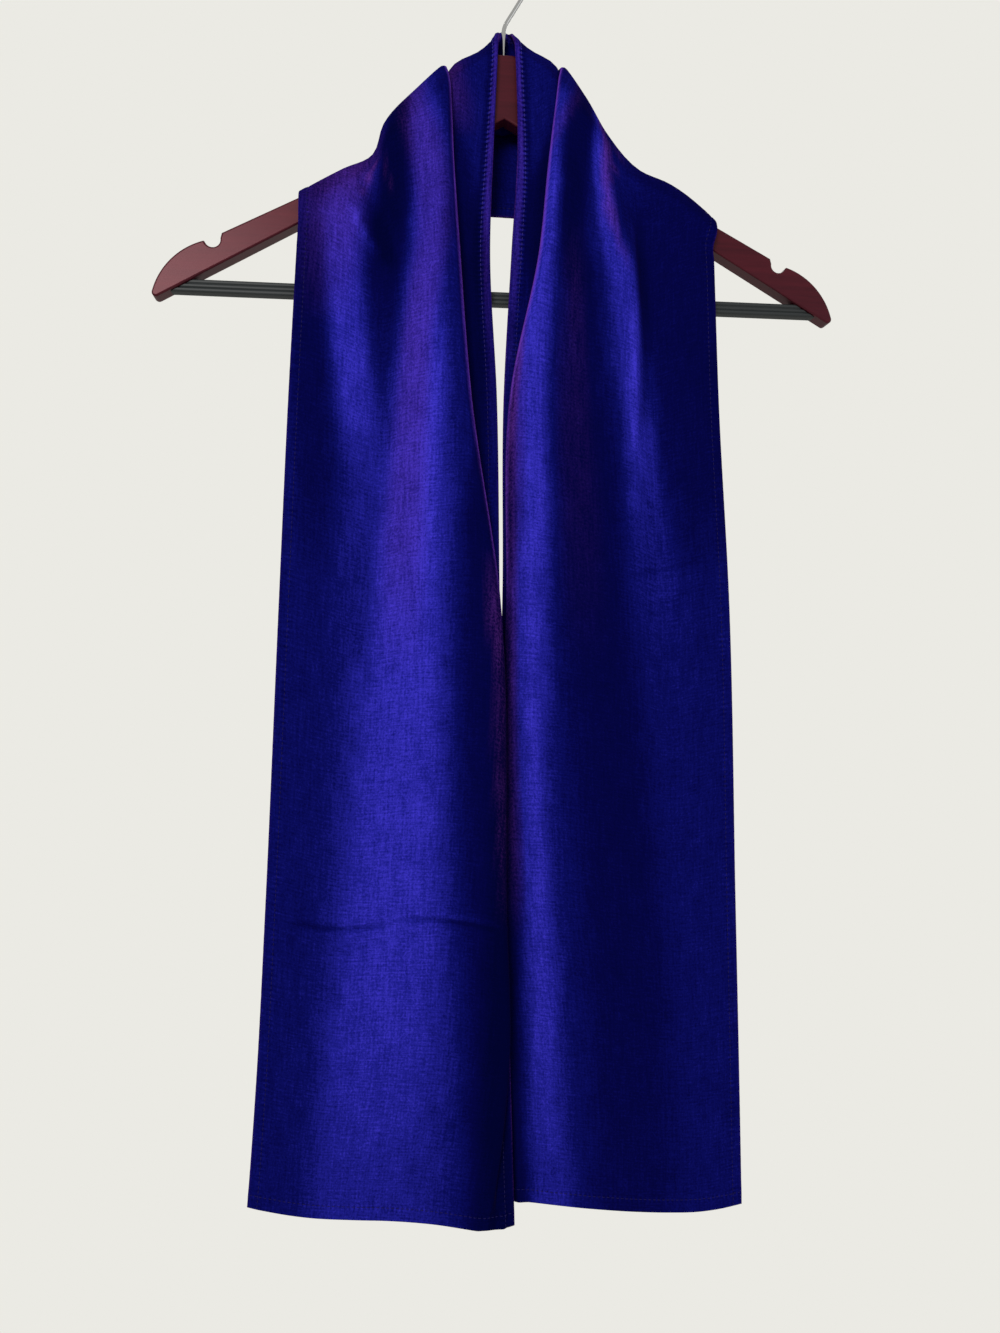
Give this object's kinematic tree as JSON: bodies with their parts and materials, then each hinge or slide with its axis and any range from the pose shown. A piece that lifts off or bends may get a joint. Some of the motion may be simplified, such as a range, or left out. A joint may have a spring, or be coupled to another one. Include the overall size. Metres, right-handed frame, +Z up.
{
  "type": "velvet scarf hung on a wooden coat hanger",
  "caption": "Long narrow velvet scarf, pleated lengthwise behind the neck of a wooden coat hanger with a bar, both ends hanging straight down in front.",
  "frame": {"origin": "the hook's inner crown, where a rail carries the hanger, on the hanger's middle plane", "axes": "+Z up, +X along the hanger to the viewer's right, -Y towards the viewer, on the side where both ends hang"},
  "size_m": [0.445, 0.0495, 0.8354],
  "materials": {
    "velvet": "blue shot velvet with a short pile",
    "lacquered_wood": "mahogany-coloured lacquer, satin to glossy",
    "bar_plastic": "charcoal, ribbed along its length",
    "hook_chrome": "polished"
  },
  "bodies": {
    "root": {"scarf_front_left": "velvet", "scarf_neck_back": "velvet", "scarf_front_right": "velvet", "hanger_wood": "lacquered_wood", "hanger_bar": "bar_plastic", "hanger_hook": "hook_chrome"}
  },
  "joints": []
}
